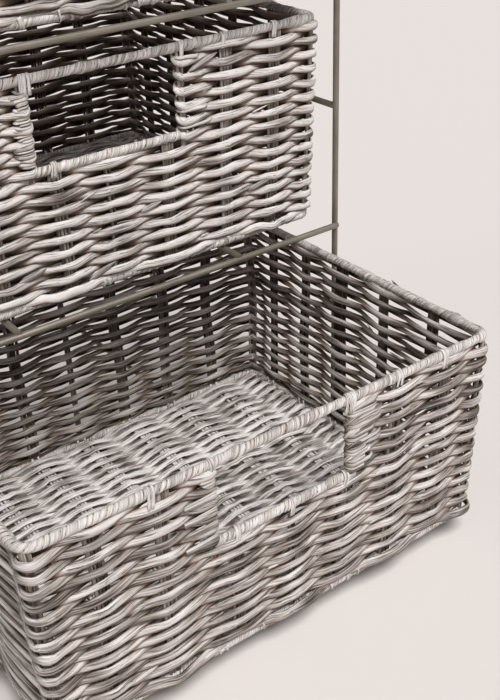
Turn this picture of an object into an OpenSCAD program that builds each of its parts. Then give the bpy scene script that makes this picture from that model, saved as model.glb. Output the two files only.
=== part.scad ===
// Tower of three woven baskets that slide as drawers in a frame of welded rod.
// X runs to the right, Y to the back and Z up. The origin is on the floor, in the
// middle of the box round the whole tower with its bottom basket pulled out.

/* [Baskets] */
// Width of a basket over its rim
basket_w = 398; // [300:1:520]
// Depth of a basket over its rim, front to back
basket_d = 308; // [240:1:420]
// Height of a basket, from its underside to the top of its rim
basket_h = 176; // [140:1:240]
// How far each wall leans in between its rim and its foot
wall_lean = 5; // [0:0.5:12]
// Thickness of the woven walls
weave_t = 9; // [8:0.5:14]
// Width of one course of the weave, which is fitted to the height of the walls and to the floor
course_h = 10.6; // [8:0.1:16]
// Depth of the groove between two courses
groove_t = 3; // [0.5:0.1:3]
// Width of the groove between two courses
groove_h = 4.4; // [2:0.1:6]
// Thickness of the woven floor
floor_t = 9; // [8:0.5:14]
// Diameter of the wrapped rod in the rim
rim_d = 7; // [6:0.5:10]
// Diameter of the wrapped rod round the foot of the walls
foot_rod_d = 7; // [6:0.5:10]
// Bend radius of the rim and the foot rod at the corners, on their centre line
bend_r = 10; // [7:0.5:16]

/* [Hand hole] */
// Width of the hand hole in the front wall
hole_w = 120; // [90:1:180]
// Clear height of the hand hole between the grip rod and the rim
hole_h = 60; // [40:1:70]
// Diameter of the wrapped grip rod along the bottom of the hand hole
grip_d = 7; // [6:0.5:10]

/* [Frame] */
// Diameter of every rod in the frame, with its paint
rod_d = 5.2; // [4:0.1:8]
// Height of the lowest bars above the floor, on their centre line
first_bar_h = 16; // [12:0.5:60]
// Distance of each runner from the middle of the frame
runner_x = 100; // [60:1:130]
// Height of a side rail above the bars of its tier
rail_rise = 106; // [60:1:130]
// How far a runner's cut end stands out past the middle of its bar
runner_tip = 1.5; // [0:0.1:2]

/* [Foot caps] */
// Outer diameter of a foot cap
cap_d = 9; // [8.6:0.1:14]
// Height of a foot cap
cap_h = 11; // [6:0.5:11.5]
// Thickness of the cap under the end of its post
cap_floor_t = 2; // [1:0.25:4]
// Radius of the round upper edge of a foot cap
cap_edge_r = 1; // [0.5:0.1:1.5]

/* [Clearances] */
// Gap between the side of a basket and each post
side_gap = 4.4; // [1:0.1:10]
// Gap between the front posts and the front of a closed basket
front_gap = 5.7; // [1:0.1:12]
// Gap between the back of a closed basket and the rear posts
back_gap = 5; // [1:0.1:12]
// Gap between the rim of a basket and the front bar above it
head_gap = 19.9; // [6:0.1:40]
// Gap between the floor of a basket and its runners
glide_gap = 0.3; // [0.2:0.05:1]
// Gap between the pieces of one basket
join_gap = 0.3; // [0.2:0.05:0.6]

/* [Pose] */
// How far the bottom basket stands pulled out
pull_out = 202; // [0:1:215]

/* [Hidden] */
$fn = 48;

// Tiers, counted from the floor
BOTTOM = 0;
MIDDLE = 1;
UPPER = 2;
TOP = 3;
LEFT = -1;
RIGHT = 1;

// Frame
rod_r = rod_d / 2;
weave_proud = (weave_t - rim_d) / 2;
post_x = basket_w / 2 + weave_proud + side_gap + rod_r;
closed_y = rod_r + front_gap + weave_proud;
rear_y = closed_y + basket_d + weave_proud + back_gap + rod_r;
lap = rod_r;
tier_pitch = lap + rod_r + glide_gap + basket_h + head_gap + rod_r;
top_z = first_bar_h + TOP * tier_pitch;
post_top = top_z + rod_r;
post_seat = cap_floor_t;

// Baskets, from the underside and the front of the rim
line_x = (basket_w - rim_d) / 2;
line_y = rim_d / 2;
line_d = basket_d - rim_d;
foot_z = foot_rod_d / 2 + (floor_t - foot_rod_d) / 2;
rim_z = basket_h - rim_d / 2;
wall_low = max(foot_z + foot_rod_d / 2, floor_t) + join_gap;
wall_high = basket_h - rim_d - join_gap;
corner_space = weave_t / 2 + join_gap;
courses = round((wall_high - wall_low) / course_h);
course_pitch = (wall_high - wall_low) / courses;
grip_z = basket_h - rim_d - hole_h - grip_d / 2;

// Where the middle of the whole box lies behind the front posts
front_most = closed_y - weave_proud - pull_out;
middle_y = (min(front_most, -lap - rod_r) + rear_y + lap + rod_r) / 2;

// Heights
function bar_z(tier) = first_bar_h + tier * tier_pitch;
function basket_z(tier) = bar_z(tier) + lap + rod_r + glide_gap;
function basket_y(tier) = tier == BOTTOM ? closed_y - pull_out : closed_y;
// How far a wall's centre line stands in at a height over the underside
function lean(z) = wall_lean * (rim_z - z) / (rim_z - foot_z);

// A rod from one point to another
module rod(from, to, d) {
    way = to - from;
    length = norm(way);
    turn = atan2(way[1], way[0]);
    tilt = acos(way[2] / length);
    translate(from) rotate([0, tilt, turn]) cylinder(d = d, h = length);
}

// Everything in the frame, moved so that the origin is in the middle
module in_frame() {
    translate([0, -middle_y, 0]) children();
}

// Everything in a basket, from its own underside and the front of its rim
module in_basket(tier) {
    in_frame() translate([0, basket_y(tier), basket_z(tier)]) children();
}

module frame_paint() {
    color([0.46, 0.44, 0.39]) children();
}

module cane_colour() {
    color([0.78, 0.75, 0.72]) children();
}

module wrap_colour() {
    color([0.86, 0.84, 0.81]) children();
}

// Posts and what is welded to them
module post_cylinders(seat) {
    for (side = [LEFT, RIGHT]) {
        for (y = [0, rear_y]) {
            translate([side * post_x, y, seat]) cylinder(d = rod_d, h = post_top - seat);
        }
    }
}

module post(side, y) {
    in_frame() frame_paint()
        translate([side * post_x, y, post_seat])
            cylinder(d = rod_d, h = post_top - post_seat);
}

// A bar across the front or the back, lapped half into the outside of the posts
module bar_cylinder(y, z) {
    translate([-post_x, y, z]) rotate([0, 90, 0]) cylinder(d = rod_d, h = 2 * post_x);
}

module cross_bar(y, z) {
    in_frame() frame_paint() difference() {
        bar_cylinder(y, z);
        post_cylinders(0);
    }
}

module front_bar(tier) {
    cross_bar(-lap, bar_z(tier));
}

module rear_bar(tier) {
    cross_bar(rear_y + lap, bar_z(tier));
}

// A runner that lies half sunk on the front and rear bars of its tier
module runner(tier, side) {
    reach = lap + runner_tip;
    in_frame() frame_paint() difference() {
        translate([side * runner_x, -reach, bar_z(tier) + lap])
            rotate([-90, 0, 0]) cylinder(d = rod_d, h = rear_y + 2 * reach);
        bar_cylinder(-lap, bar_z(tier));
        bar_cylinder(rear_y + lap, bar_z(tier));
    }
}

// A rail from the front post to the rear post of one side
module side_rod(side, z) {
    in_frame() frame_paint() difference() {
        translate([side * post_x, 0, z]) rotate([-90, 0, 0]) cylinder(d = rod_d, h = rear_y);
        post_cylinders(0);
    }
}

module side_rail(tier, side) {
    side_rod(side, bar_z(tier) + rail_rise);
}

// The top side bars lie just under the top ends of the posts
module top_side_bar(side) {
    side_rod(side, top_z);
}

module foot_cap() {
    difference() {
        rotate_extrude() {
            square([cap_d / 2, cap_h - cap_edge_r]);
            square([cap_d / 2 - cap_edge_r, cap_h]);
            translate([cap_d / 2 - cap_edge_r, cap_h - cap_edge_r]) intersection() {
                circle(r = cap_edge_r);
                square(cap_edge_r);
            }
        }
        translate([0, 0, post_seat]) cylinder(d = rod_d, h = cap_h);
    }
}

module foot_caps() {
    in_frame() color([0.2, 0.19, 0.18])
        for (side = [LEFT, RIGHT]) {
            for (y = [0, rear_y]) {
                translate([side * post_x, y, 0]) foot_cap();
            }
        }
}

// A closed ring of round rod with bent corners, on a centre line that stands in by a lean
module rod_ring(z, d, stand_in) {
    x = line_x - stand_in;
    y_low = line_y + stand_in;
    y_high = line_y + line_d - stand_in;
    for (side = [LEFT, RIGHT]) {
        rod([side * x, y_low + bend_r, z], [side * x, y_high - bend_r, z], d);
    }
    for (y = [y_low, y_high]) {
        rod([-x + bend_r, y, z], [x - bend_r, y, z], d);
    }
    for (corner = [
        [x - bend_r, y_high - bend_r, 0],
        [-x + bend_r, y_high - bend_r, 90],
        [-x + bend_r, y_low + bend_r, 180],
        [x - bend_r, y_low + bend_r, 270]
    ]) {
        translate([corner[0], corner[1], z]) rotate([0, 0, corner[2]])
            rotate_extrude(angle = 90) translate([bend_r, 0]) circle(d = d);
    }
}

module basket_rim(tier) {
    in_basket(tier) wrap_colour() rod_ring(rim_z, rim_d, 0);
}

module basket_foot_rod(tier) {
    in_basket(tier) wrap_colour() rod_ring(foot_z, foot_rod_d, wall_lean);
}

// A point of the groove at a level, which is counted in courses from the foot of the wall.
// Part is -1 under the groove, 0 in its depth and 1 over it. Face is -1 on the outside of the
// wall and 1 on its inside.
function groove_point(level, part, face) =
    let (z = wall_low + level * course_pitch + part * groove_h / 2)
    [lean(z) + face * (weave_t / 2 - (part == 0 ? groove_t : 0)), z];

// A leaning woven slab. Its centre line runs at half its thickness from its outside, its
// ends follow the corners, and it is drawn along X with its outside towards -Y. The courses
// on its inside lie behind the grooves of its outside.
module leaning_slab(half_length) {
    intersection() {
        translate([-half_length, 0, 0]) rotate([90, 0, 90])
            linear_extrude(height = 2 * half_length)
                polygon(concat(
                    [[lean(wall_low) - weave_t / 2, wall_low], [lean(wall_low) + weave_t / 2, wall_low]],
                    [for (level = [1 : courses - 1]) for (part = [-1 : 1]) groove_point(level, part, 1)],
                    [[lean(wall_high) + weave_t / 2, wall_high], [lean(wall_high) - weave_t / 2, wall_high]],
                    [for (level = [1 : courses]) for (part = [-1 : 1])
                        groove_point(courses + 0.5 - level, -part, -1)]
                ));
        translate([0, weave_t * 2, 0]) rotate([90, 0, 0])
            linear_extrude(height = weave_t * 4)
                polygon([
                    [lean(wall_low) + corner_space - half_length, wall_low],
                    [half_length - corner_space - lean(wall_low), wall_low],
                    [half_length - corner_space - lean(wall_high), wall_high],
                    [lean(wall_high) + corner_space - half_length, wall_high]
                ]);
    }
}

// The front wall with its hand hole, which is open up to the rim
module basket_front(tier) {
    in_basket(tier) cane_colour() difference() {
        translate([0, line_y, 0]) leaning_slab(line_x);
        translate([-hole_w / 2, -weave_t, grip_z - grip_d / 2 - join_gap])
            cube([hole_w, line_y + wall_lean + 2 * weave_t, basket_h]);
    }
}

module basket_back(tier) {
    in_basket(tier) cane_colour()
        translate([0, line_y + line_d, 0]) rotate([0, 0, 180]) leaning_slab(line_x);
}

module basket_side(tier, side) {
    in_basket(tier) cane_colour()
        translate([side * line_x, line_y + line_d / 2, 0])
            rotate([0, 0, side * 90]) leaning_slab(line_d / 2);
}

// A slab from the front to the back of the floor, with the grooves of its courses. Those of its
// underside lie under the middles of the courses on its top.
module floor_courses(x, y_low, y_high) {
    count = round((y_high - y_low) / course_h);
    pitch = (y_high - y_low) / count;
    translate([-x, 0, 0]) rotate([90, 0, 90]) linear_extrude(height = 2 * x)
        polygon(concat(
            [[y_low, 0]],
            [for (level = [1 : count]) for (part = [-1 : 1])
                [y_low + (level - 0.5) * pitch + part * groove_h / 2, part == 0 ? groove_t : 0]],
            [[y_high, 0], [y_high, floor_t]],
            [for (level = [1 : count - 1]) for (part = [-1 : 1])
                [y_high - level * pitch - part * groove_h / 2, floor_t - (part == 0 ? groove_t : 0)]],
            [[y_low, floor_t]]
        ));
}

// The floor lies inside the foot rod
module basket_floor(tier) {
    inside = foot_rod_d / 2 + join_gap;
    x = line_x - wall_lean - inside;
    y_low = line_y + wall_lean + inside;
    y_high = line_y + line_d - wall_lean - inside;
    corner_r = bend_r - inside;
    in_basket(tier) cane_colour() intersection() {
        floor_courses(x, y_low, y_high);
        linear_extrude(height = floor_t) {
            translate([-x, y_low + corner_r]) square([2 * x, y_high - y_low - 2 * corner_r]);
            translate([-x + corner_r, y_low]) square([2 * (x - corner_r), y_high - y_low]);
            for (side = [LEFT, RIGHT]) {
                for (y = [y_low + corner_r, y_high - corner_r]) {
                    translate([side * (x - corner_r), y]) circle(r = corner_r);
                }
            }
        }
    }
}

// The four corner bundles, cut level under the rim and over the foot rod
module basket_corners(tier) {
    in_basket(tier) cane_colour() intersection() {
        for (side = [LEFT, RIGHT]) {
            for (back = [0, 1]) {
                y_foot = back == 0 ? line_y + wall_lean : line_y + line_d - wall_lean;
                y_rim = back == 0 ? line_y : line_y + line_d;
                foot = [side * (line_x - wall_lean), y_foot, foot_z];
                rim = [side * line_x, y_rim, rim_z];
                rod(foot, rim, weave_t);
            }
        }
        translate([-basket_w, -basket_d, wall_low])
            cube([2 * basket_w, 3 * basket_d, wall_high - wall_low]);
    }
}

// The grip rod leans with the front wall and ends just inside the hole's sides
module basket_grip(tier) {
    y = line_y + lean(grip_z);
    end = hole_w / 2 - join_gap;
    in_basket(tier) wrap_colour() rod([-end, y, grip_z], [end, y, grip_z], grip_d);
}

post(LEFT, 0);  // post_front_left
post(RIGHT, 0);  // post_front_right
post(LEFT, rear_y);  // post_rear_left
post(RIGHT, rear_y);  // post_rear_right
foot_caps();
front_bar(BOTTOM);  // bottom_front_bar
rear_bar(BOTTOM);  // bottom_rear_bar
runner(BOTTOM, LEFT);  // bottom_runner_left
runner(BOTTOM, RIGHT);  // bottom_runner_right
front_bar(MIDDLE);  // middle_front_bar
rear_bar(MIDDLE);  // middle_rear_bar
runner(MIDDLE, LEFT);  // middle_runner_left
runner(MIDDLE, RIGHT);  // middle_runner_right
front_bar(UPPER);  // upper_front_bar
rear_bar(UPPER);  // upper_rear_bar
runner(UPPER, LEFT);  // upper_runner_left
runner(UPPER, RIGHT);  // upper_runner_right
side_rail(BOTTOM, LEFT);  // bottom_rail_left
side_rail(BOTTOM, RIGHT);  // bottom_rail_right
side_rail(MIDDLE, LEFT);  // middle_rail_left
side_rail(MIDDLE, RIGHT);  // middle_rail_right
side_rail(UPPER, LEFT);  // upper_rail_left
side_rail(UPPER, RIGHT);  // upper_rail_right
front_bar(TOP);  // top_front_bar
rear_bar(TOP);  // top_rear_bar
top_side_bar(LEFT);  // top_left_bar
top_side_bar(RIGHT);  // top_right_bar
basket_front(BOTTOM);  // bottom_basket_front
basket_back(BOTTOM);  // bottom_basket_back
basket_side(BOTTOM, LEFT);  // bottom_basket_left
basket_side(BOTTOM, RIGHT);  // bottom_basket_right
basket_floor(BOTTOM);  // bottom_basket_floor
basket_corners(BOTTOM);  // bottom_basket_corners
basket_rim(BOTTOM);  // bottom_basket_rim
basket_foot_rod(BOTTOM);  // bottom_basket_foot_rod
basket_grip(BOTTOM);  // bottom_basket_grip
basket_front(MIDDLE);  // middle_basket_front
basket_back(MIDDLE);  // middle_basket_back
basket_side(MIDDLE, LEFT);  // middle_basket_left
basket_side(MIDDLE, RIGHT);  // middle_basket_right
basket_floor(MIDDLE);  // middle_basket_floor
basket_corners(MIDDLE);  // middle_basket_corners
basket_rim(MIDDLE);  // middle_basket_rim
basket_foot_rod(MIDDLE);  // middle_basket_foot_rod
basket_grip(MIDDLE);  // middle_basket_grip
basket_front(UPPER);  // upper_basket_front
basket_back(UPPER);  // upper_basket_back
basket_side(UPPER, LEFT);  // upper_basket_left
basket_side(UPPER, RIGHT);  // upper_basket_right
basket_floor(UPPER);  // upper_basket_floor
basket_corners(UPPER);  // upper_basket_corners
basket_rim(UPPER);  // upper_basket_rim
basket_foot_rod(UPPER);  // upper_basket_foot_rod
basket_grip(UPPER);  // upper_basket_grip
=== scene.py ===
import math

import bpy
import numpy as np
from mathutils import Matrix, Vector


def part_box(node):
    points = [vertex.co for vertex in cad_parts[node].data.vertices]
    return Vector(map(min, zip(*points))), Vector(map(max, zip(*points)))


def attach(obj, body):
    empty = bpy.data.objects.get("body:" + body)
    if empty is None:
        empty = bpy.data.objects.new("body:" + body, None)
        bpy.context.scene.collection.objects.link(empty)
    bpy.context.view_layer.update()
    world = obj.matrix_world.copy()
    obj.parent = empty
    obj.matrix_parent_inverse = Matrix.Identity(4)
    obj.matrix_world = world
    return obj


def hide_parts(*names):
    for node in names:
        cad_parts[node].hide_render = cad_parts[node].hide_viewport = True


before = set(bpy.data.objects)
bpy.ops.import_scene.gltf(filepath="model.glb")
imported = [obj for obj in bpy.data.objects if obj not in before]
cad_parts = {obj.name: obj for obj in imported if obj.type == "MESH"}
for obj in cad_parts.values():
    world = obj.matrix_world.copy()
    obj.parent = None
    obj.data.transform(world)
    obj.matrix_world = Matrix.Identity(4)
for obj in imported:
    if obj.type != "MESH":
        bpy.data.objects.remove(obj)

bpy.ops.object.select_all(action="DESELECT")
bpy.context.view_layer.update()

MM = 0.001
TIERS = ("bottom", "middle", "upper")
# The grip rod ends this far inside the sides of the hand hole
GRIP_GAP = 0.3 * MM

# The four walls, front, right, back and left: which way each one faces, and which way the distance
# round the basket runs along it
FACINGS = np.array([[0.0, -1.0], [1.0, 0.0], [0.0, 1.0], [-1.0, 0.0]])
ALONGS = np.array([[1.0, 0.0], [0.0, 1.0], [-1.0, 0.0], [0.0, -1.0]])

# Where the random draws of each kind of piece start. Each tier adds its own number to it
WARP_SEED = 410
WALL_SEED = 71
STAKE_SEED = 160
FLOOR_SEED = 230
END_SEED = 300
BINDING_SEED = 520
WRAP_SEED = 900

# The camera that the photograph was taken with, in pixels of a 500 by 700 picture
FOCAL_PIXELS = 1044.87
PICTURE_HEIGHT = 700
CAMERA_PLACE = (-0.3560, -0.7101, 0.5910)
CAMERA_YAW = math.radians(35.97)
CAMERA_PITCH = math.radians(30.28)
CAMERA_ROLL = math.radians(-2.2)
SENSOR = 36.0

# Weave of the walls: each row passes outside one stake and inside the next. The last of the low
# rows lies just under the grip, and the high rows turn back at the hand hole
STRAND_TALL = 6.2 * MM
STRAND_DEEP = 3.8 * MM
STAKE_ROD = 2.9 * MM
STAKE_PITCH = 2.95 * MM
CORNER_STAKE_PITCH = 1.9 * MM
STRAND_OUT = STAKE_ROD / 2 + STRAND_DEEP / 2 - 0.1 * MM
LOW_ROWS = 18
HIGH_ROWS = 12
FIRST_ROW_Z = 7.5 * MM
UNDER_GRIP = 2.6 * MM
HIGH_ROWS_UP = 5.6 * MM
LAST_ROW_Z = 166.6 * MM
ROW_RISE = 1.2 * MM
ROW_TILT = 0.5
ROW_STEPS = 5
CORNER_BEND = 6 * MM
SIDE_CROSSING = 13 * MM

# The slow wander of the whole weave of a wall: the number of waves, and their size across and up
WARP_WAVES = 10
WARP_ACROSS = 0.45 * MM
WARP_UP = 0.42 * MM

# How uneven each strand is: up and down, in and out, in thickness, in tint, and how deep it splits
STRAND_WANDER = 0.5 * MM
STRAND_SWAY = 0.05
STRAND_UNEVEN = 0.09
STRAND_TINT = 0.14
STRAND_SPLIT = 0.9 * MM

# Where the stakes stand, in mm: across from the middle of the front and of the back, and back from
# the front
FRONT_STAKES = {"bottom": (-150, -102, -44, 5, 53.5, 102.5, 152),
                "middle": (-150, -100, -45.5, -4.4, 48, 106, 154),
                "upper": (-151, -104, -47, 3, 50, 101, 150)}
BACK_STAKES = (-155, -110, -63, -13, 38, 89, 142)
SIDE_STAKES = (56, 111.5, 165, 216, 263.5)
HOLE_LEFT = -65 * MM
HOLE_RIGHT = {"bottom": 59 * MM, "middle": 64 * MM, "upper": 62 * MM}

# The lashings over the front of each rim: across, how far down, width of a band, all in mm, and
# number of bands
RIM_LASHINGS = {"bottom": ((-109, 11, 2.9, 2), (-64, 6, 2.4, 1), (57, 9, 2.5, 4), (102, 6, 2.6, 2),
                           (149, 9, 3.2, 2)),
                "middle": ((-60, 10, 3.0, 3), (66, 9, 2.8, 2), (104, 7, 2.8, 2), (152, 7, 2.6, 2)),
                "upper": ((-98, 9, 2.2, 1), (-62, 8, 2.6, 2), (64, 9, 3.0, 3), (148, 8, 2.2, 1))}
# The ties round the front of each foot rod, across in mm
FOOT_TIES = (-112, -62, -55, -27, -19, -12, 27, 34, 46, 62, 69, 104)

# Weave of the floor
FLOOR_ROWS = 52
FLOOR_TALL = 6.3 * MM
FLOOR_DEEP = 3.3 * MM
FLOOR_ROD = 2.7 * MM
FLOOR_STAKE_PITCH = 2.9 * MM
FLOOR_STAKE_RODS = 4
FLOOR_STEPS = 4
FLOOR_WANDER_X = 0.5 * MM
FLOOR_WANDER_Y = 0.6 * MM
FLOOR_TILT = 0.5

# Flat cane wrapped round the rods: its width, the depth between turns, and how many strips run side
# by side
TURN = 4.0 * MM
GROOVE = 0.42 * MM
STRIPS = 3
RING_BEND = 10 * MM
RIM_KNOTS = 26

# How thick the flat cane of the lashings, of the cut ends and of the bands at the hand hole is
LASHING_THICK = 0.9 * MM
END_THICK = 1.1 * MM
BAND_THICK = 2.2 * MM

# The cut ends: how many are drawn, the share of them outside, and how high the flat ones at the
# left of the bottom hand hole lie, in mm
LOOSE_ENDS = 150
ENDS_OUTSIDE = 0.68
BLUNT_ENDS = (113, 125, 136, 149)

BEAD_RADIUS = 2.62 * MM
BEAD_SHAPE = (0.55, 1.0, 1.0)

# The lamps: azimuth (0 shines from the front, 90 from the right), elevation, strength and spread
LAMPS = (("key", -11, 60, 3.32, 26), ("fill", -66, 44, 0.22, 60), ("front", 20, 20, 0.12, 40))
LAMP_COLOUR = (1.0, 0.988, 0.98)
SOFT_LIGHT = (1.0, 0.93, 0.85, 1.0)
SOFT_STRENGTH = 0.1
# Painted light in the shadow under the tower, where the floor glows in the backdrop colour: where
# it starts and is full, along Y, and its share
SHADOW_FILL = (0.02, 0.26)
SHADOW_FILL_SHARE = 0.72


def draws(seed, tier):
    return np.random.default_rng(seed + TIERS.index(tier))


def srgb(red, green, blue):
    """A colour as it shows on a screen, from 0 to 255, in the linear values that Blender reads."""
    def linear(value):
        share = value / 255
        return share / 12.92 if share <= 0.04045 else ((share + 0.055) / 1.055) ** 2.4
    return (linear(red), linear(green), linear(blue), 1.0)


class Value:
    """A socket of a material, on which the usual operators add Math nodes."""

    def __init__(self, finish, socket):
        self.finish = finish
        self.socket = socket

    def maths(self, operation, first, second):
        made = self.finish.node("ShaderNodeMath", {"operation": operation}, {0: first, 1: second})
        return made["Value"]

    def __add__(self, other):
        return self.maths("ADD", self, other)

    def __radd__(self, other):
        return self.maths("ADD", other, self)

    def __sub__(self, other):
        return self.maths("SUBTRACT", self, other)

    def __mul__(self, other):
        return self.maths("MULTIPLY", self, other)


class Finish:
    """A material, or the world, while it is being made."""

    def __init__(self, name, world=None):
        self.material = world or bpy.data.materials.new(name)
        self.material.use_nodes = True
        self.tree = self.material.node_tree
        self.tree.nodes.clear()

    def node(self, kind, settings=None, inputs=None):
        """Adds a node, sets it, feeds its sockets and gives its outputs by name."""
        made = self.tree.nodes.new(kind)
        for name, value in (settings or {}).items():
            if name == "stops":
                self.set_stops(made.color_ramp, value)
            else:
                setattr(made, name, value)
        for key, value in (inputs or {}).items():
            if isinstance(value, Value):
                self.tree.links.new(value.socket, made.inputs[key])
            else:
                made.inputs[key].default_value = value
        return {output.name: Value(self, output) for output in made.outputs if output.enabled}

    @staticmethod
    def set_stops(ramp, stops):
        while len(ramp.elements) < len(stops):
            ramp.elements.new(0.5)
        for element, (position, colour) in zip(ramp.elements, stops):
            element.position = position
            element.color = colour

    def attribute(self, name):
        return self.node("ShaderNodeAttribute", {"attribute_name": name})

    def noise(self, vector, scale, detail, roughness):
        inputs = {"Vector": vector, "Scale": scale, "Detail": detail, "Roughness": roughness}
        return self.node("ShaderNodeTexNoise", None, inputs)["Fac"]

    def stretched(self, vector, scale):
        made = self.node("ShaderNodeVectorMath", {"operation": "MULTIPLY"}, {0: vector, 1: scale})
        return made["Vector"]

    def mix(self, share, first, second, blend="MIX"):
        made = self.node("ShaderNodeMix", {"data_type": "RGBA", "blend_type": blend},
                         {0: share, 6: first, 7: second})
        return made["Result"]

    def ramp(self, value, stops):
        return self.node("ShaderNodeValToRGB", {"stops": stops}, {0: value})["Color"]

    def between(self, value, low, high):
        """0 where value is at most low, 1 where it is at least high."""
        made = self.node("ShaderNodeMapRange", {"clamp": True},
                         {0: value, 1: low, 2: high, 3: 0.0, 4: 1.0})
        return made["Result"]

    def bump(self, height, strength, distance):
        made = self.node("ShaderNodeBump", None,
                         {"Strength": strength, "Distance": distance, "Height": height})
        return made["Normal"]

    def finish(self, sockets):
        shader = self.node("ShaderNodeBsdfPrincipled", None, sockets)
        self.node("ShaderNodeOutputMaterial", None, {"Surface": shader["BSDF"]})
        return self.material


def cane_finish(name, light, middle, dark, roughness):
    """Grey washed cane: streaks run along each strand and each strand has its own tint. A brown
    painted shade darkens the cane in the creases, under the strands and on the insides, where shade
    falls."""
    made = Finish(name)
    grain = made.attribute("grain")["Vector"]
    shade = made.attribute("shade")["Fac"]
    recess = made.attribute("recess")["Fac"]
    streaks = made.noise(made.stretched(grain, (0.03, 0.85, 0.85)), 1.0, 3.0, 0.6)
    patches = made.noise(made.stretched(grain, (0.03, 0.16, 0.16)), 1.0, 2.0, 0.5)
    fibres = made.noise(made.stretched(grain, (0.07, 2.2, 2.2)), 1.0, 2.0, 0.6)
    tone = (streaks - 0.5) * 1.75 + (patches - 0.5) * 0.45 + (shade - 0.5) * 0.7 + 0.52
    colour = made.ramp(tone, [(0.10, dark), (0.50, middle), (0.86, light)])
    crack = made.between(fibres * 0.55 + streaks * 0.45, 0.40, 0.45)
    colour = made.mix(crack, made.mix(0.8, colour, dark), colour)
    # Painted shade: the colour is multiplied towards dark brown where the mesh is marked as lying
    # in shade
    shade_darkening = made.ramp(recess, [(0.10, (1.0, 1.0, 1.0, 1.0)), (0.40, srgb(208, 196, 187)),
                               (0.62, srgb(132, 112, 94)), (0.95, srgb(62, 45, 32))])
    colour = made.mix(1.0, colour, shade_darkening, "MULTIPLY")
    relief = made.bump(streaks * 0.6 + fibres * 0.4, 0.6, 0.0007)
    rough = roughness + streaks * 0.18
    return made.finish({"Base Color": colour, "Roughness": rough, "Normal": relief,
                        "Specular IOR Level": 0.42})


def painted_steel():
    made = Finish("painted_steel")
    place = made.node("ShaderNodeTexCoord")["Object"]
    cloud = made.noise(place, 35.0, 3.0, 0.55)
    grit = made.noise(place, 900.0, 2.0, 0.5)
    colour = made.ramp(cloud, [(0.3, srgb(134, 127, 116)), (0.7, srgb(154, 147, 135))])
    speck = made.between(grit, 0.62, 0.74)
    colour = made.mix(speck * 0.35, colour, srgb(150, 144, 131))
    relief = made.bump(grit * 0.6 + cloud * 0.4, 0.25, 0.0003)
    return made.finish({"Base Color": colour, "Roughness": 0.44 + cloud * 0.1, "Normal": relief,
                        "Metallic": 0.7, "Specular IOR Level": 0.7})


def cap_plastic():
    made = Finish("cap_plastic")
    place = made.node("ShaderNodeTexCoord")["Object"]
    cloud = made.noise(place, 160.0, 3.0, 0.6)
    colour = made.ramp(cloud, [(0.3, srgb(44, 42, 40)), (0.7, srgb(60, 58, 55))])
    relief = made.bump(cloud, 0.3, 0.0003)
    return made.finish({"Base Color": colour, "Roughness": 0.55 + cloud * 0.15, "Normal": relief})


def directions(way, closed):
    """Which way the points of way lead, as unit vectors."""
    if closed:
        ahead = np.roll(way, -1, axis=0) - np.roll(way, 1, axis=0)
    else:
        ahead = np.gradient(way, axis=0)
    return ahead / np.linalg.norm(ahead, axis=1, keepdims=True)


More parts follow.
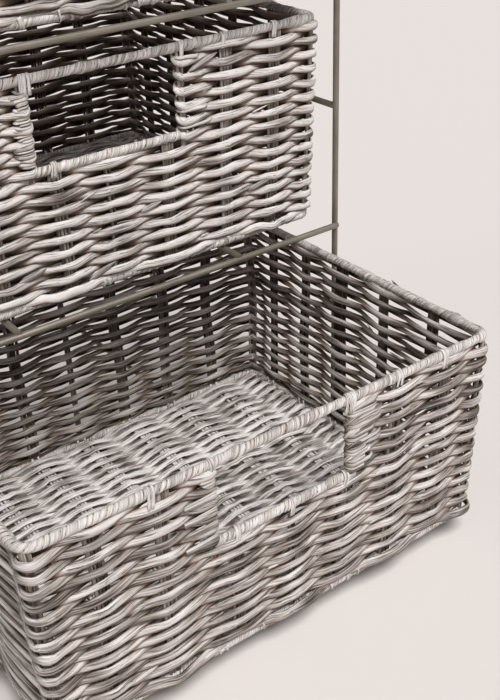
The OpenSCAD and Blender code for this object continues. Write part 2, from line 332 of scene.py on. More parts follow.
class Cane:
    """Gathers lengths of cane and makes one mesh of them."""

    def __init__(self):
        self.places, self.faces, self.grain, self.shade, self.recess = [], [], [], [], []
        self.count = 0
        self.lengths = 0

    def add_rings(self, rings, grain, shade, recess, closed):
        """Joins rings of points. Faces point outwards where each ring runs from its outward side to
        the right of the way."""
        number, sides = rings.shape[:2]
        index = self.count + np.arange(number * sides).reshape(number, sides)
        beside = np.roll(index, -1, axis=1)
        last = number if closed else number - 1
        ahead = np.roll(index, -1, axis=0)
        beside_ahead = np.roll(beside, -1, axis=0)
        quads = np.stack([index[:last], beside[:last], beside_ahead[:last], ahead[:last]], axis=-1)
        self.faces += quads.reshape(-1, 4).tolist()
        if not closed:
            self.faces.append(index[0, ::-1].tolist())
            self.faces.append(index[-1].tolist())
        self.places.append(rings.reshape(-1, 3))
        self.grain.append(grain.reshape(-1, 3))
        self.shade.append(np.broadcast_to(shade, (number, sides)).reshape(-1))
        self.recess.append(np.broadcast_to(recess, (number, sides)).reshape(-1))
        self.count += number * sides
        self.lengths += 1

    def add(self, way, outward, tall, deep, shade, sides=8, closed=False, split=0.0,
            recess=0.0, side=None, inner=0.0):
        """A length along the points of way. tall is its width across the wall, deep its thickness.
        side says where it lies in the weave, from -1 inside to 1 outside, and sets painted shade on
        what faces the stakes, under the strand and in the creases between strands. The last
        argument paints shade on what faces the inside of the basket."""
        number = len(way)
        ahead = directions(way, closed)
        out = outward - np.sum(outward * ahead, axis=1, keepdims=True) * ahead
        out /= np.linalg.norm(out, axis=1, keepdims=True)
        across = np.cross(ahead, out)
        angle = 2 * np.pi * np.arange(sides) / sides
        tall = np.broadcast_to(tall, number)[:, None] / 2
        deep = np.broadcast_to(deep, number)[:, None] / 2
        split = np.broadcast_to(split, number)[:, None]
        in_out = np.cos(angle)[None] * deep * np.where(np.cos(angle) < 0, 0.86, 1.0)[None]
        in_out = in_out - split * (np.arange(sides) == np.where(split > 0, 0, 1))
        up_down = np.sin(angle)[None] * tall
        rings = (way[:, None] + out[:, None] * in_out[..., None]
                 + across[:, None] * up_down[..., None])
        steps = np.linalg.norm(np.diff(way, axis=0), axis=1)
        along = np.concatenate([[0.0], np.cumsum(steps)])
        grain = np.stack([
            np.broadcast_to(along[:, None], rings.shape[:2]) + self.lengths * 0.913,
            in_out, up_down + self.lengths * 0.031,
        ], axis=-1) / MM
        # Painted shade: a given darkness all along, and more on what faces the inside of the basket
        painted_darkness = np.broadcast_to(recess, number)[:, None]
        painted_darkness = painted_darkness + inner * np.clip(-np.cos(angle), 0, 1)[None]
        # Painted shade in the weave, where the strands lie in shade: on what faces the stakes, on
        # the undersides, in the crease under the neighbouring strand at a crossing, and a little
        # everywhere
        if side is not None:
            inward = np.clip(-side[:, None] * np.cos(angle)[None], 0, 1)
            rising = across[:, None, 2] * np.sin(angle)[None]
            crease = np.clip(1 - np.abs(side), 0, 1)[:, None] * np.clip(rising, 0, 1) ** 2
            below = np.clip(-rising, 0, 1) ** 2
            painted_darkness = painted_darkness + 0.08 + 1.1 * inward ** 1.3 + 0.72 * below + 0.85 * crease
        shade = np.broadcast_to(shade, number)[:, None]
        self.add_rings(rings, grain, shade, np.clip(painted_darkness, 0, 1), closed)

    def make(self, name, material, offset):
        mesh = bpy.data.meshes.new(name)
        places = np.concatenate(self.places) + np.array(offset)
        mesh.from_pydata(places.tolist(), [], self.faces)
        mesh.polygons.foreach_set("use_smooth", np.ones(len(mesh.polygons), bool))
        grain = mesh.attributes.new("grain", "FLOAT_VECTOR", "POINT")
        grain.data.foreach_set("vector", np.concatenate(self.grain).astype(np.float32).ravel())
        shade = mesh.attributes.new("shade", "FLOAT", "POINT")
        shade.data.foreach_set("value", np.concatenate(self.shade).astype(np.float32))
        recess = mesh.attributes.new("recess", "FLOAT", "POINT")
        recess.data.foreach_set("value", np.concatenate(self.recess).astype(np.float32))
        mesh.materials.append(material)
        mesh.update()
        made = bpy.data.objects.new(name, mesh)
        bpy.context.scene.collection.objects.link(made)
        return made


def waves(draw, share, lowest, highest, terms):
    """A smooth uneven value round a closed way, on which share runs from 0 to 1."""
    total = np.zeros_like(share)
    for _ in range(terms):
        count = draw.integers(lowest, highest + 1)
        total = total + np.sin(2 * np.pi * (count * share + draw.random()))
    return total / math.sqrt(terms / 2)


class Basket:
    """The sizes of one basket, read from its nodes in the frame.

    x runs from the basket's middle, y from the front of its rim and z from its underside."""

    def __init__(self, tier):
        self.tier = tier
        rim_low, rim_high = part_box(f"{tier}_basket_rim")
        foot_low, foot_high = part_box(f"{tier}_basket_foot_rod")
        grip_low, grip_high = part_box(f"{tier}_basket_grip")
        floor_low, floor_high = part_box(f"{tier}_basket_floor")
        front_low, front_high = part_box(f"{tier}_basket_front")
        self.origin = np.array([(rim_low.x + rim_high.x) / 2, rim_low.y, floor_low.z])
        self.rim_radius = (rim_high.z - rim_low.z) / 2
        self.foot_radius = (foot_high.z - foot_low.z) / 2
        self.grip_radius = (grip_high.z - grip_low.z) / 2
        self.rim_z = rim_high.z - self.rim_radius - floor_low.z
        self.foot_z = foot_high.z - self.foot_radius - floor_low.z
        self.grip_z = grip_high.z - self.grip_radius - floor_low.z
        self.low = front_low.z - floor_low.z
        self.high = front_high.z - floor_low.z
        self.line_x = (rim_high.x - rim_low.x) / 2 - self.rim_radius
        self.line_d = rim_high.y - rim_low.y - 2 * self.rim_radius
        self.mid_y = self.rim_radius + self.line_d / 2
        self.lean = self.line_x - ((foot_high.x - foot_low.x) / 2 - self.foot_radius)
        self.hole_x = (grip_high.x - grip_low.x) / 2 + GRIP_GAP
        self.floor_z = (floor_high.z - floor_low.z) / 2
        self.floor_x = (floor_high.x - floor_low.x) / 2
        self.floor_front = floor_low.y - rim_low.y
        self.floor_back = floor_high.y - rim_low.y
        self.bend_length = math.pi / 2 * CORNER_BEND
        self.half_x = self.line_x - CORNER_BEND
        self.half_y = self.line_d / 2 - CORNER_BEND
        quarter = self.half_x + self.half_y + self.bend_length
        self.length = 4 * quarter
        self.wall_middles = quarter * np.arange(4)
        halves = (self.half_x, self.half_y) * 2
        self.corners = [m + h + self.bend_length / 2 for m, h in zip(self.wall_middles, halves)]
        self.warps = self.draw_warps()
        self.wrap_draw = draws(WRAP_SEED, tier)
        self.hole_left = self.length + HOLE_LEFT
        self.hole_right = HOLE_RIGHT[tier]

    def draw_warps(self):
        """The slow wander of the weave, the same for all that is in the walls."""
        draw = draws(WARP_SEED, self.tier)
        terms = []
        for _ in range(WARP_WAVES):
            terms.append((draw.integers(3, 17), draw.uniform(-1.6, 1.6), draw.random(),
                          draw.normal(), draw.normal()))
        return terms

    def warp(self, q, z):
        across = np.zeros_like(q)
        up = np.zeros_like(q)
        height = (z - self.low) / (self.high - self.low)
        for count, climb, start, along_size, up_size in self.warps:
            wave = np.sin(2 * np.pi * (count * q / self.length + climb * height + start))
            across = across + along_size * wave
            up = up + up_size * wave
        held = np.clip(np.sin(np.pi * np.clip(height, 0, 1)), 0, 1) ** 0.6
        return across * WARP_ACROSS, up * WARP_UP * held

    def on_wall(self, q, z, out, warped=True):
        """Points on the wall, and which way is out. q runs round the wall from the middle of the
        front, to the right as seen from outside; out is measured from the middle of the weave."""
        q, z, out = np.broadcast_arrays(*[np.asarray(value, float) for value in (q, z, out)])
        if warped:
            across, up = self.warp(q, z)
            q, z = q + across, z + up
        q = np.mod(q + self.length / 8, self.length) - self.length / 8
        lean = self.lean * (self.rim_z - z) / (self.rim_z - self.foot_z)
        wall = np.zeros(q.shape, int)
        for corner in self.corners[:3]:
            wall += q > corner
        wall = np.where(q > self.corners[3], 0, wall)
        middle = self.wall_middles[wall]
        s = q - middle
        s = np.where(s > self.length / 2, s - self.length, s)
        reach = np.where(wall % 2 == 0, self.line_d / 2, self.line_x)[..., None] - lean[..., None]
        half_now = np.where(wall % 2 == 0, self.line_x, self.line_d / 2) - lean - CORNER_BEND
        half_rim = np.where(wall % 2 == 0, self.half_x, self.half_y)
        past = np.clip(np.abs(s) - half_rim, 0, None)
        turn = np.sign(s) * past / self.bend_length * math.pi / 2
        straight = np.clip(s, -half_rim, half_rim) * half_now / half_rim
        facing, along = FACINGS[wall], ALONGS[wall]
        centre = facing * (reach - CORNER_BEND) + along * straight[..., None]
        outward = facing * np.cos(turn)[..., None] + along * np.sin(turn)[..., None]
        flat = centre + outward * (CORNER_BEND + out)[..., None]
        places = np.concatenate([flat + np.array([0.0, self.mid_y]), z[..., None]], axis=-1)
        outward = np.concatenate([outward, np.zeros(q.shape + (1,))], axis=-1)
        return places, outward

    def rows(self):
        """The height of each row of the walls."""
        last_low = self.grip_z - self.grip_radius - UNDER_GRIP
        low = np.linspace(FIRST_ROW_Z, last_low, LOW_ROWS)
        high = np.linspace(last_low + HIGH_ROWS_UP, LAST_ROW_Z, HIGH_ROWS)
        return list(low) + list(high)

    def stakes(self):
        """Where the stakes stand round the wall, counted from the middle of the front."""
        front, right, back, left = self.wall_middles
        found = [front + x * MM for x in FRONT_STAKES[self.tier]]
        found += [right + y * MM - self.line_d / 2 for y in SIDE_STAKES]
        found += [back - x * MM for x in BACK_STAKES]
        found += [left + self.line_d / 2 - y * MM for y in SIDE_STAKES]
        return sorted(q % self.length for q in found + self.corners)

    def is_corner(self, q):
        return any(abs(q - corner) < MM for corner in self.corners)

    def crossing(self, first, second):
        """Where the strands change sides between two stakes. On the left and right walls it is
        close to the corners."""
        gap = (second - first) % self.length
        if self.is_corner(first) and self.wall_of(second) % 2 == 1:
            return first + SIDE_CROSSING
        if self.is_corner(second) and self.wall_of(first) % 2 == 1:
            return first + gap - SIDE_CROSSING
        return first + gap / 2

    def wall_of(self, q):
        return int(np.argmin([abs((q - m + self.length / 2) % self.length - self.length / 2)
                              for m in self.wall_middles]))


def run_of(stakes, crossings, turn, steps, bends=()):
    """A strand past all of stakes: where it is, its side from -1 to 1, and how near it is to a
    crossing. Its points lie closer together at the stakes whose numbers are in bends."""
    q, side, near = [], [], []
    even = np.arange(steps) / steps
    close = (np.arange(steps + 3) / (steps + 3)) ** 1.5
    close_end = 1 - (np.arange(steps + 3, 0, -1) / (steps + 3)) ** 1.5
    for number, (stake, crossing) in enumerate(zip(stakes, crossings)):
        here = 1 if (number + turn) % 2 == 0 else -1
        following = stakes[number + 1]
        away = close if number in bends else even
        toward = close_end if number + 1 in bends else even
        q += [stake + (crossing - stake) * away, crossing + (following - crossing) * toward]
        side += [here * (1 - away ** 1.7), -here * (1 - (1 - toward) ** 1.7)]
        near += [away, 1 - toward]
    return np.concatenate(q), np.concatenate(side), np.concatenate(near)


def there_and_back(first, second, level_first, level_second, ends, sides, size, steps):
    """Joins two runs between the same stakes into one loop, with a half turn round each end stake.

    sides are those of the first run at its near and far end; the second run has the other ones."""
    (q_a, side_a, near_a), (q_b, side_b, near_b) = first, second
    angle = np.linspace(0, math.pi, steps + 2)
    turn = np.linspace(0, 1, steps + 2)
    far_q = ends[1] + size * np.sin(angle)
    far_side = sides[1] * np.cos(angle)
    near_q = ends[0] - size * np.sin(angle)
    near_side = -sides[0] * np.cos(angle)
    q = np.concatenate([q_a, far_q, q_b[::-1][:-1], near_q[:-1]])
    side = np.concatenate([side_a, far_side, side_b[::-1][:-1], near_side[:-1]])
    near = np.concatenate([near_a, 0 * far_q, near_b[::-1][:-1], 0 * near_q[:-1]])
    rise = level_second - level_first
    level = np.concatenate([np.full(len(q_a), level_first), level_first + rise * turn,
                            np.full(len(q_b) - 1, level_second), level_second - rise * turn[:-1]])
    return q, side, near, level


def lay_strand(cane, draw, place, q, side, near, level, sizes, shade, tilt=0.0, rise=0.0,
               inner=0.0):
    """Lays a closed strand by place(q, height, out). sizes are its width, its thickness and how far
    its middle swings out."""
    tall, deep, size = sizes
    number = len(q)
    share = np.arange(number) / number
    reach = np.abs(side)
    loose = 0.35 + 0.65 * reach
    height = level + rise * near ** 2.2 + STRAND_WANDER * loose * waves(draw, share, 2, 70, 12)
    out = side * size * (1 + STRAND_SWAY * waves(draw, share, 2, 40, 6))
    way, wall_out = place(q, height, out)
    thick = (0.93 + 0.09 * reach) * draw.uniform(0.92, 1.08)
    thick = thick * (1 + STRAND_UNEVEN * waves(draw, share, 3, 60, 8))
    wanted = shade + STRAND_TINT * waves(draw, share, 2, 40, 8)
    split = np.clip(waves(draw, share, 8, 90, 8) - 0.8, 0, 0.8) * STRAND_SPLIT
    leaning = wall_out + np.array([0.0, 0.0, tilt])[None] * (near ** 1.5)[:, None]
    cane.add(way, leaning, tall * thick, deep * (0.88 + 0.12 * thick), wanted, sides=10,
             closed=True, split=split * np.clip(side * 1.6, 0, 1), side=side, inner=inner)


def weave_walls(basket, cane):
    draw = draws(WALL_SEED, basket.tier)
    stakes = basket.stakes()
    # The rows start and end in the left rear corner
    start = [basket.is_corner(q) and q > basket.wall_middles[2] for q in stakes].index(True)
    around = stakes[start:] + [q + basket.length for q in stakes[:start + 1]]
    right, left = basket.hole_right, basket.hole_left
    beside = [right] + [q for q in stakes if right + 8 * MM < q < left - 8 * MM] + [left]
    shift = stakes.index(beside[1]) % 2
    around_bends = [n for n, q in enumerate(around) if basket.is_corner(q % basket.length)]
    beside_bends = [n for n, q in enumerate(beside) if basket.is_corner(q % basket.length)]

    def sizes_at(q):
        # The strands of the front are a little wider than the others
        off = np.abs((q + basket.length / 2) % basket.length - basket.length / 2)
        front = np.clip((basket.half_x + 12 * MM - off) / (10 * MM), 0, 1)
        return STRAND_TALL * (0.98 + 0.1 * front), STRAND_DEEP, STRAND_OUT

    # Painted light: the strands of the middle basket are made lighter, where its front catches more
    # light
    pale = 0.4 if basket.tier == "middle" else 0.0
    # Painted shade on what faces the inside, heavier in the middle and the upper basket, whose
    # insides are darker because they lie deeper in shade
    inner = 0.06 if basket.tier == "bottom" else 0.45
    rows = basket.rows()
    crossings = [basket.crossing(a, b) for a, b in zip(around, around[1:])]
    for number in range(LOW_ROWS):
        q, side, near = run_of(around, crossings, number + start, ROW_STEPS, around_bends)
        if number == 0:
            # The lowest row passes outside the foot rod and rests on it in between
            side = 1.05 * (side + 1)
        lay_strand(cane, draw, basket.on_wall, q, side, near, rows[number], sizes_at(q),
                   pale + draw.uniform(0.25, 0.8), ROW_TILT, ROW_RISE, inner)
    crossings = [basket.crossing(a, b) for a, b in zip(beside, beside[1:])]
    for number in range(LOW_ROWS, LOW_ROWS + HIGH_ROWS, 2):
        runs = [run_of(beside, crossings, number + 1 + shift + n, ROW_STEPS, beside_bends)
                for n in (0, 1)]
        starts = 1 if (number + 1 + shift) % 2 == 0 else -1
        ends = 1 if (len(beside) + number + shift) % 2 == 0 else -1
        q, side, near, level = there_and_back(*runs, rows[number], rows[number + 1], (right, left),
                                              (starts, ends), STRAND_OUT, ROW_STEPS)
        lay_strand(cane, draw, basket.on_wall, q, side, near, level, sizes_at(q),
                   pale + draw.uniform(0.3, 0.8), ROW_TILT, ROW_RISE, inner)


def stand_stakes(basket, cane):
    draw = draws(STAKE_SEED, basket.tier)
    right, left = basket.hole_right, basket.hole_left
    bottom, top = basket.foot_z, basket.rim_z
    # Painted shade on the stakes, which stand in shade behind the strands: less in the middle
    # basket, and more on what faces the inside of the middle and the upper basket
    stake_painted_shade = 0.08 if basket.tier == "middle" else 0.25
    inner = 0.12 if basket.tier == "bottom" else 0.42
    jobs = []
    for q in basket.stakes():
        in_hole = q < right - MM or q > left + MM
        end = basket.grip_z if in_hole else top
        pitch = CORNER_STAKE_PITCH if basket.is_corner(q) else STAKE_PITCH
        # The stakes in the middle of the front and beside the middle of the back have fewer rods
        thin = min(q, basket.length - q) < 8 * MM or abs(q - basket.wall_middles[2] - 13 * MM) < MM
        rods = 2 if thin else 4
        if basket.wall_of(q) % 2 == 1 and not basket.is_corner(q):
            # The stake amidships in each side has one rod more
            rods = 5 if abs(basket.wall_middles[basket.wall_of(q)] - q) < 15 * MM else 4
        # Less painted shade on the corner stakes
        shade_darkening = stake_painted_shade * (0.3 if basket.is_corner(q) else 1)
        jobs += [(q + (n - (rods - 1) / 2) * pitch, bottom, end, shade_darkening) for n in range(rods)]
    for q in (right, left):
        jobs += [(q + side * 1.5 * MM, basket.grip_z - 14 * MM, top, stake_painted_shade) for side in (-1, 1)]
    for q, start, end, shade_darkening in jobs:
        z = np.linspace(start, end, 12)
        wander = np.cumsum(draw.normal(0, 0.13 * MM, 12))
        way, outward = basket.on_wall(q + wander - wander.mean(), z, draw.normal(0, 0.18 * MM))
        cane.add(way, outward, STAKE_ROD * draw.uniform(0.9, 1.06), STAKE_ROD,
                 draw.uniform(0.1, 0.9), sides=7, recess=shade_darkening + draw.uniform(0.0, 0.3),
                 inner=inner)


def weave_floor(basket, cane):
    draw = draws(FLOOR_SEED, basket.tier)
    stakes_x = [x * MM for x in BACK_STAKES]
    edge = basket.floor_x - FLOOR_DEEP - 1.2 * MM
    row = [-edge] + stakes_x + [edge]
    out_size = FLOOR_ROD / 2 + FLOOR_DEEP / 2 - 0.1 * MM
    deep = basket.floor_back - basket.floor_front
    pitch = (deep - FLOOR_TALL) / (FLOOR_ROWS - 1)
    sway = [(draw.integers(1, 5), draw.uniform(-1, 1), draw.random(), draw.normal())
            for _ in range(6)]

    def place(x, y, out):
        share = (y - basket.floor_front) / deep
        drift = sum(size * np.sin(2 * np.pi * (count * x / 0.4 + climb * share + start))
                    for count, climb, start, size in sway)
        held = np.clip(np.sin(np.pi * np.clip(share, 0, 1)), 0, 1) ** 0.5
        # The stakes of the floor run a little to the right as they come forward
        forward = 6 * MM * (1 - share) * np.clip(np.cos(np.pi * x / 0.39), 0, 1)
        x = x + FLOOR_WANDER_X * drift + forward
        y = y + FLOOR_WANDER_Y * drift * held + FLOOR_TILT * out
        places = np.stack([x, y, basket.floor_z + out], axis=-1)
        return places, np.broadcast_to(np.array([0.0, 0.0, 1.0]), places.shape).copy()

    crossings = [(a + b) / 2 for a, b in zip(row, row[1:])]
    for number in range(0, FLOOR_ROWS, 2):
        runs = [run_of(row, crossings, n, FLOOR_STEPS) for n in (0, 1)]
        ends = 1 if (len(row) - 1) % 2 == 0 else -1
        levels = [basket.floor_front + FLOOR_TALL / 2 + pitch * (number + n) for n in (0, 1)]
        q, side, near, level = there_and_back(*runs, *levels, (-edge, edge), (1, ends), out_size,
                                              FLOOR_STEPS)
        lay_strand(cane, draw, place, q, side, near, level, (FLOOR_TALL, FLOOR_DEEP, out_size),
                   draw.uniform(0.5, 0.95))
    for x in stakes_x:
        for n in range(FLOOR_STAKE_RODS):
            y = np.linspace(basket.floor_front - 2 * MM, basket.floor_back + 2 * MM, 16)
            wander = np.cumsum(draw.normal(0, 0.2 * MM, 16))
            beside = (n - (FLOOR_STAKE_RODS - 1) / 2) * FLOOR_STAKE_PITCH
            way, outward = place(x + beside + wander - wander.mean(), y, 0 * y)
            # Painted shade on the floor's rods, which lie under the strands
            cane.add(way, outward, FLOOR_ROD, FLOOR_ROD, draw.uniform(0.6, 1.0), sides=7,
                     recess=0.12)


def ring_way(basket, z, stand_in, step):
    """The centre line of a rod bent round the basket, from the middle of the front, and its outward
    side."""
    half_x = basket.line_x - stand_in
    half_y = basket.line_d / 2 - stand_in
    straight_x, straight_y = half_x - RING_BEND, half_y - RING_BEND
    arc = math.pi / 2 * RING_BEND
    length = 4 * (straight_x + straight_y + arc)
    number = int(round(length / step))
    s = np.arange(number) * length / number
    ends = np.cumsum([straight_x, arc, 2 * straight_y, arc, 2 * straight_x, arc, 2 * straight_y,
                      arc, straight_x])
    part = np.searchsorted(ends, s, side="right").clip(0, 8)
    start = np.concatenate([[0.0], ends[:-1]])[part]
    local = s - start
    quarter = (part // 2) % 4
    facing, along = FACINGS[quarter], ALONGS[quarter]
    reach = np.where(quarter % 2 == 0, half_y, half_x)[:, None]
    side = np.where(quarter % 2 == 0, straight_x, straight_y)
    on_bend = part % 2 == 1
    along_by = np.where(on_bend, side, np.where(part == 0, local, local - side))
    turn = np.where(on_bend, local / RING_BEND, 0.0)
    outward = facing * np.cos(turn)[:, None] + along * np.sin(turn)[:, None]
    flat = facing * (reach - RING_BEND) + along * along_by[:, None] + outward * RING_BEND
    way = np.column_stack([flat[:, 0], flat[:, 1] + basket.mid_y, np.full(number, z)])
    return way, np.column_stack([outward, np.zeros(number)]), s, length


def wrap(cane, draw, way, outward, s, radius, sides, closed, lumps=()):
    """A rod wrapped with turns of flat cane, as one tube whose radius drops between the turns.
    lumps are its thicker spots: where along the rod, how high and how long."""
    up = np.cross(directions(way, closed), outward)
    length = s[-1] + (s[1] - s[0])
    share = s / length
    widths = 1 + 0.22 * waves(draw, share, 9, 90, 7)
    turns = np.cumsum(1 / (TURN * np.clip(widths, 0.6, 1.5))) * (s[1] - s[0])
    turns *= round(turns[-1]) / turns[-1]
    angle = 2 * np.pi * np.arange(sides) / sides
    # The ring starts under the rod, where its seam doesn't show
    out_part, up_part = np.sin(angle), -np.cos(angle)
    phase = turns[:, None] + STRIPS * np.arange(sides)[None] / sides
    number = np.floor(phase).astype(int)
    inside = 2 * (phase - number) - 1
    per_turn = draw.normal(0, 1, number.max() + 3)
    tint = draw.uniform(0, 1, number.max() + 3)
    tint = 0.25 + 0.4 * tint + 0.35 * np.convolve(tint, np.ones(5) / 5, "same")
    tight = 0.1 + 0.9 * draw.random(number.max() + 3) ** 1.4
    profile = 1 - tight[number] * np.abs(inside) ** 5
    swell = 0.14 * MM * waves(draw, share, 4, 60, 8)
    for place, size, reach in lumps:
        off = np.abs((s - place + length / 2) % length - length / 2)
        swell = swell + size * np.clip(1 - (off / reach) ** 2, 0, 1)
    size = radius - GROOVE * (1 - profile) + 0.10 * MM * np.clip(per_turn[number], -2, 2)
    size = size + swell[:, None]
    rings = (way[:, None] + outward[:, None] * (size * out_part)[..., None]
             + up[:, None] * (size * up_part)[..., None])
    # The cane's own grain runs round the rod
    grain = np.stack([
        (angle * radius)[None] + number * 0.317,
        inside * TURN / 2,
        np.broadcast_to(0.0, phase.shape) + number * 0.0213,
    ], axis=-1) / MM
    # Painted shade in the grooves between the turns
    recess = np.clip(1.2 - 1.2 * profile, 0, 1)
    cane.add_rings(rings[:, ::-1], grain[:, ::-1], tint[number][:, ::-1], recess[:, ::-1], closed)
    # These rings run the other way round, so their faces are turned outwards. Each face keeps its
    # first corner, so it splits as before
    cane.faces = [face[:1] + face[:0:-1] for face in cane.faces]


def lash(cane, draw, basket, q, z, radius, drop_out, drop_in, width, bands, over_top=1):
    """Bands of flat cane that go over a rod and down both sides of the wall, or under it and up
    when over_top is -1."""
    for band in range(bands):
        over = np.linspace(0, math.pi, 9)
        reach = radius + LASHING_THICK * 0.45
        out = np.concatenate([[reach * 1.02] * 3, np.cos(over) * reach, [-reach * 1.02] * 3])
        z_out = np.linspace(-drop_out, -drop_out / 4, 3)
        z_in = np.linspace(-drop_in / 4, -drop_in, 3)
        height = z + over_top * np.concatenate([z_out, np.sin(over) * reach, z_in])
        slant = np.linspace(-1, 1, len(out)) * draw.uniform(0.8, 3.4) * MM
        shift = (band - (bands - 1) / 2) * width * 0.93
        way, wall_out = basket.on_wall(q + shift + slant, height, out)
        up = np.array([0.0, 0.0, over_top])
        lift = np.concatenate([[0.0] * 3, np.sin(over), [0.0] * 3])[:, None]
        face = np.concatenate([[1.0] * 3, np.cos(over), [-1.0] * 3])[:, None]
        cane.add(way, wall_out * face + up * lift, width * draw.uniform(0.85, 1.05), LASHING_THICK,
                 draw.uniform(0.6, 1.0))


def loose_end(cane, draw, place, q, z, out, length, width, rise, side, blunt=False):
    """The flat cut end of a strand that stands out between two rows. A blunt one is broadest at its
    end."""
    share = np.linspace(0, 1, 6)
    way, outward = place(q + share * length * math.cos(rise), z + share * length * math.sin(rise),
                         side * (out + (1.6 * share - 1.2) * MM))
    taper = np.clip(np.minimum(share * 4 + 0.35, (1.02 - share) * 3.2), 0.06, 1)
    if blunt:
        taper = 0.7 + 0.3 * share
    cane.add(way, outward * side, width * taper, END_THICK * np.clip(taper, 0.4, 1),
             draw.uniform(0.3, 0.9), sides=6)


def scatter_ends(basket, cane):
    """Cut ends: slivers all over, and here and there the broad end of a strand that was joined
    on."""
    draw = draws(END_SEED, basket.tier)
    rows = basket.rows()
    stakes = basket.stakes()
    if basket.tier == "bottom":
        # Strands that were cut off flat at the left of the hand hole
        for level in BLUNT_ENDS:
            loose_end(cane, draw, basket.on_wall, basket.hole_left - 22 * MM, level * MM,
                      STRAND_OUT + 1.7 * MM, 25 * MM, draw.uniform(6.0, 8.0) * MM, math.radians(7),
                      side=1, blunt=True)
    for count in range(LOOSE_ENDS):
        number = draw.integers(1, len(rows))
        stake = draw.integers(0, len(stakes))
        first, second = stakes[stake], stakes[(stake + 1) % len(stakes)]
        middle = first + ((second - first) % basket.length) * draw.uniform(0.35, 0.75)
        from_front = abs((middle + basket.length / 2) % basket.length - basket.length / 2)
        if number >= LOW_ROWS - 1 and from_front < basket.hole_x + 22 * MM:
            continue
        if basket.is_corner(first) or basket.is_corner(second):
            continue
        side = 1 if draw.random() < ENDS_OUTSIDE else -1
        rise = math.radians(draw.uniform(2, 26))
        broad = count % 4 == 0
        if broad:
            rise = math.radians(draw.uniform(12, 24))
        long = draw.uniform(18, 28) if broad else draw.uniform(7, 17)
        width = draw.uniform(4.6, 6.4) if broad else draw.uniform(1.2, 2.8)
        loose_end(cane, draw, basket.on_wall, middle - long / 2 * MM * side, rows[number] - 2 * MM,
                  STRAND_OUT + (0.9 if broad else 0.2) * MM, long * MM, width * MM, rise, side)


def turn_band(basket, cane, draw, stake, away, level, width, tail):
    """A flat band that comes along the outside, turns round a stake of the hand hole and goes back
    inside."""
    size = STRAND_OUT + draw.uniform(0.1, 0.9) * MM
    angle = np.linspace(0, math.pi, 8)
    along_out = np.linspace(draw.uniform(0.35, 1.0) * tail, 2.5, 5) * MM
    along_in = np.linspace(2.5, draw.uniform(8, 13), 4) * MM
    q = stake + away * np.concatenate([along_out, -size * np.sin(angle), along_in])
    out = np.concatenate([[STRAND_OUT * 0.5], [size] * 4, size * np.cos(angle), [-size] * 4])
    lift = draw.uniform(-1.5, 2.0) * MM
    z = level + np.concatenate([lift * np.linspace(1, 0, 5) ** 1.5, np.linspace(0, 1.2, 8) * MM,
                                np.linspace(1.2, 3.0, 4) * MM])
    way, wall_out = basket.on_wall(q, z, out)
    beside = basket.on_wall(stake + away * 5 * MM, level, 0.0)[0]
    side_way = beside - basket.on_wall(stake, level, 0.0)[0]
    side_way /= np.linalg.norm(side_way)
    face = np.concatenate([[1.0] * 5, np.cos(angle), [-1.0] * 4])[:, None]
    turned = np.concatenate([[0.0] * 5, np.sin(angle), [0.0] * 4])[:, None]
    cane.add(way, wall_out * face - side_way[None] * turned, width, BAND_THICK,
             draw.uniform(0.2, 0.9), side=face[:, 0])


def bind(basket, cane):
    """The lashings over the rim and the grip, and the bands round the stakes at the hand hole."""
    draw = draws(BINDING_SEED, basket.tier)
    right, left = basket.hole_right, basket.hole_left
    front_end = basket.half_x - 4 * MM
    for q in basket.stakes():
        if basket.is_corner(q):
            continue
        on_front = min(q, basket.length - q) < front_end
        if q < right - MM or q > left + MM:
            if draw.random() < 0.7:
                lash(cane, draw, basket, q, basket.grip_z, basket.grip_radius + 0.3 * MM,
                     6 * MM, 5 * MM, 2.6 * MM, 2)
        elif not on_front and draw.random() < 0.45:
            lash(cane, draw, basket, q, basket.rim_z, basket.rim_radius + 0.1 * MM,
                 draw.uniform(5, 11) * MM, 7 * MM, draw.uniform(1.8, 3.0) * MM, draw.integers(1, 3))
        if not on_front:
            for slip in (-4, 3):
                lash(cane, draw, basket, q + slip * MM, basket.foot_z,
                     basket.foot_radius + 0.1 * MM, 4 * MM, 7 * MM, 2.4 * MM, 1, over_top=-1)
    for x, down, width, bands in RIM_LASHINGS[basket.tier]:
        lash(cane, draw, basket, x * MM, basket.rim_z, basket.rim_radius + 0.2 * MM,
             down * MM, 7 * MM, width * MM, bands)
    for x in FOOT_TIES:
        lash(cane, draw, basket, (x + draw.uniform(-3, 3)) * MM, basket.foot_z,
             basket.foot_radius + 0.1 * MM, draw.uniform(2.5, 5) * MM, 4 * MM,
             draw.uniform(1.6, 2.6) * MM, 1, over_top=-1)
    for q, away, wide, tail in ((right, 1, 3.0, 28), (left, -1, 2.2, 12)):
        level = basket.grip_z + 5 * MM
        if away < 0 and basket.tier == "bottom":
            # Here the strands end flat at the hole
            level = basket.rim_z - 16 * MM
        while level < basket.rim_z - 8 * MM:
            width = draw.uniform(wide - 0.6, wide + 0.9) * MM
            turn_band(basket, cane, draw, q, away, level + width / 2, width, tail)
            level += width * draw.uniform(0.88, 1.05)
            if away > 0 and basket.tier == "middle":
                # Here the strands themselves turn round the stake, and only a few bands lie between
                level += draw.uniform(8, 13) * MM


def wrap_rim(basket, cane):
    way, outward, s, length = ring_way(basket, basket.rim_z, 0.0, TURN / 6)
    draw = basket.wrap_draw
    knots = [(draw.random() * length, draw.uniform(0.3, 0.9) * MM, draw.uniform(3, 7) * MM)
             for _ in range(RIM_KNOTS)]
    wrap(cane, draw, way, outward, s, basket.rim_radius, sides=14, closed=True, lumps=knots)


def wrap_foot(basket, cane):
    way, outward, s, _ = ring_way(basket, basket.foot_z, basket.lean, TURN / 5)
    wrap(cane, basket.wrap_draw, way, outward, s, basket.foot_radius, sides=12, closed=True)


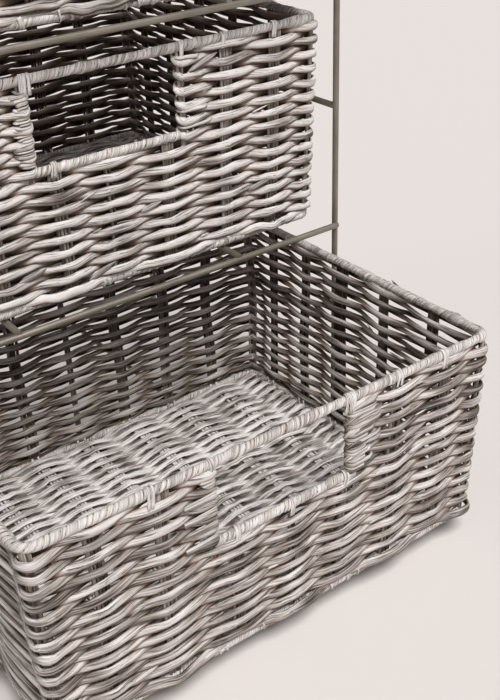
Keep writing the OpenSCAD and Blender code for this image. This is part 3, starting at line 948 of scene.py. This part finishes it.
def wrap_grip(basket, cane):
    reach = basket.hole_x + 3 * MM
    q = np.arange(-reach, reach, TURN / 7)
    way, outward = basket.on_wall(q, basket.grip_z, 0.0, warped=False)
    knots = [(reach, 0.5 * MM, 5 * MM), (reach * 0.4, 0.4 * MM, 4 * MM)]
    wrap(cane, basket.wrap_draw, way, outward, q + reach, basket.grip_radius, sides=16,
         closed=False, lumps=knots)


# What each basket consists of: the name of the piece, what makes it, its finish, its slot and the
# nodes that it stands for
PIECES = (
    ("wall_weave", weave_walls, "strand", "woven_cane",
     ("front", "back", "left", "right", "corners")),
    ("stakes", stand_stakes, "stake", "woven_cane", ()),
    ("floor_weave", weave_floor, "strand", "woven_cane", ("floor",)),
    ("loose_ends", scatter_ends, "strand", "woven_cane", ()),
    ("rim_wrap", wrap_rim, "wrap", "wrapped_cane", ("rim",)),
    ("foot_wrap", wrap_foot, "wrap", "wrapped_cane", ("foot_rod",)),
    ("grip_wrap", wrap_grip, "wrap", "wrapped_cane", ("grip",)),
    ("bindings", bind, "wrap", "wrapped_cane", ()),
)


def build_basket(tier, finishes):
    basket = Basket(tier)
    body = f"{tier}_basket"
    for part, fill, finish, slot, nodes in PIECES:
        cane = Cane()
        fill(basket, cane)
        made = cane.make(f"{body}_{part}", finishes[finish], basket.origin)
        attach(made, body)
        if nodes:
            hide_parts(*[f"{body}_{node}" for node in nodes])


def weld_beads(finish):
    """Small beads at the ends of the front and rear bars, where they are welded on the posts."""
    beads = []
    for tier in TIERS + ("top",):
        for end in ("front", "rear"):
            low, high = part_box(f"{tier}_{end}_bar")
            for x in (low.x, high.x):
                place = (x, (low.y + high.y) / 2, (low.z + high.z) / 2)
                bpy.ops.mesh.primitive_ico_sphere_add(subdivisions=3, radius=BEAD_RADIUS,
                                                      location=place)
                bead = bpy.context.object
                bead.scale = BEAD_SHAPE
                beads.append(bead)
    for bead in beads:
        bead.select_set(True)
    bpy.context.view_layer.objects.active = beads[0]
    bpy.ops.object.join()
    joined = bpy.context.object
    joined.name = "frame_weld_beads"
    bpy.ops.object.transform_apply(location=True, rotation=True, scale=True)
    bpy.ops.object.shade_smooth()
    joined.data.materials.append(finish)
    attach(joined, "frame")
    bpy.ops.object.select_all(action="DESELECT")


def add_camera():
    data = bpy.data.cameras.new("camera")
    data.sensor_width = SENSOR
    data.lens = FOCAL_PIXELS * SENSOR / PICTURE_HEIGHT
    data.clip_start = 0.01
    camera = bpy.data.objects.new("camera", data)
    bpy.context.scene.collection.objects.link(camera)
    forward = Vector((math.sin(CAMERA_YAW) * math.cos(CAMERA_PITCH),
                      math.cos(CAMERA_YAW) * math.cos(CAMERA_PITCH), -math.sin(CAMERA_PITCH)))
    level_right = Vector((math.cos(CAMERA_YAW), -math.sin(CAMERA_YAW), 0.0))
    level_up = level_right.cross(forward)
    right = level_right * math.cos(CAMERA_ROLL) + level_up * math.sin(CAMERA_ROLL)
    up = level_up * math.cos(CAMERA_ROLL) - level_right * math.sin(CAMERA_ROLL)
    turn = Matrix((right, up, -forward)).transposed()
    camera.matrix_world = Matrix.Translation(CAMERA_PLACE) @ turn.to_4x4()
    bpy.context.scene.camera = camera


def add_stage():
    """A pale floor, and a world that has the same colour behind the object and gives soft light."""
    pale = srgb(233, 225, 221)
    made = Finish("pale_floor")
    lit = made.node("ShaderNodeBsdfDiffuse", None, {"Color": srgb(223.5, 217.5, 215)})["BSDF"]
    # Painted light: the floor glows in the backdrop colour behind the open drawer, filling the
    # shadow under the tower
    place = made.node("ShaderNodeTexCoord")["Object"]
    back = made.node("ShaderNodeSeparateXYZ", None, {0: place})["Y"]
    glow = made.node("ShaderNodeEmission", None, {"Color": pale, "Strength": 1.0})["Emission"]
    share = made.between(back, *SHADOW_FILL) * SHADOW_FILL_SHARE
    filled = made.node("ShaderNodeMixShader", None, {0: share, 1: lit, 2: glow})["Shader"]
    made.node("ShaderNodeOutputMaterial", None, {"Surface": filled})
    bpy.ops.mesh.primitive_plane_add(size=40)
    floor = bpy.context.object
    floor.name = "floor"
    floor.data.materials.append(made.material)
    world = bpy.data.worlds.new("studio")
    bpy.context.scene.world = world
    made = Finish("studio", world)
    seen = made.node("ShaderNodeLightPath")["Is Camera Ray"]
    soft = made.node("ShaderNodeBackground", None, {"Color": SOFT_LIGHT, "Strength": SOFT_STRENGTH})
    plain = made.node("ShaderNodeBackground", None, {"Color": pale, "Strength": 1.0})
    mixed = made.node("ShaderNodeMixShader", None,
                      {0: seen, 1: soft["Background"], 2: plain["Background"]})["Shader"]
    made.node("ShaderNodeOutputWorld", None, {"Surface": mixed})


def add_sun(name, azimuth, elevation, strength, spread):
    """A wide soft lamp."""
    data = bpy.data.lights.new(name, "SUN")
    data.energy = strength
    data.angle = math.radians(spread)
    data.color = LAMP_COLOUR
    lamp = bpy.data.objects.new(name, data)
    bpy.context.scene.collection.objects.link(lamp)
    a, e = math.radians(azimuth), math.radians(elevation)
    toward = Vector((math.sin(a) * math.cos(e), -math.cos(a) * math.cos(e), math.sin(e)))
    lamp.rotation_euler = toward.to_track_quat("Z", "Y").to_euler()


finishes = {
    "strand": cane_finish("grey_strand", srgb(226, 221, 219), srgb(166, 158, 153),
                          srgb(62, 50, 42), 0.48),
    "stake": cane_finish("grey_stake", srgb(206, 200, 196), srgb(158, 149, 142),
                         srgb(72, 61, 53), 0.5),
    "wrap": cane_finish("pale_wrap", srgb(228, 223, 221), srgb(196, 189, 185),
                        srgb(88, 76, 68), 0.46),
    "steel": painted_steel(),
    "cap": cap_plastic(),
}

add_camera()
add_stage()
for lamp in LAMPS:
    add_sun(*lamp)

for name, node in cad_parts.items():
    if "_basket_" not in name:
        node.data.materials.clear()
        node.data.materials.append(finishes["cap"] if name == "foot_caps" else finishes["steel"])

for tier in TIERS:
    build_basket(tier, finishes)
weld_beads(finishes["steel"])

bpy.context.scene.view_settings.view_transform = "Standard"
